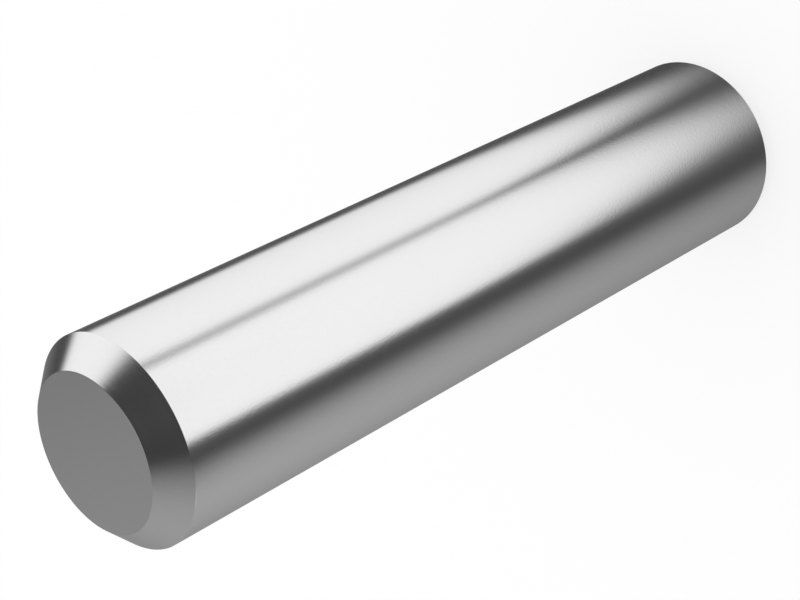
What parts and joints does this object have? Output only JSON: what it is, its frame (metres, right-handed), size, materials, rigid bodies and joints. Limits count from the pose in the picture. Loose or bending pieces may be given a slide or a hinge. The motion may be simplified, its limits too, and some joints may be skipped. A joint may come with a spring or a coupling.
{
  "type": "interference stud",
  "caption": "Solid cylindrical pin with chamfered ends, ground to press into a reamed hole.",
  "frame": {"origin": "centre of the drive end's flat face, which the stud stands on", "axes": "+Z along the stud's axis, from the drive end up to the leading end; X and Y across it, with no direction of their own"},
  "size_m": [0.008, 0.008, 0.035],
  "materials": {
    "ground_steel": "fine ground, satin bright"
  },
  "bodies": {
    "root": {"stud": "ground_steel"}
  },
  "joints": []
}
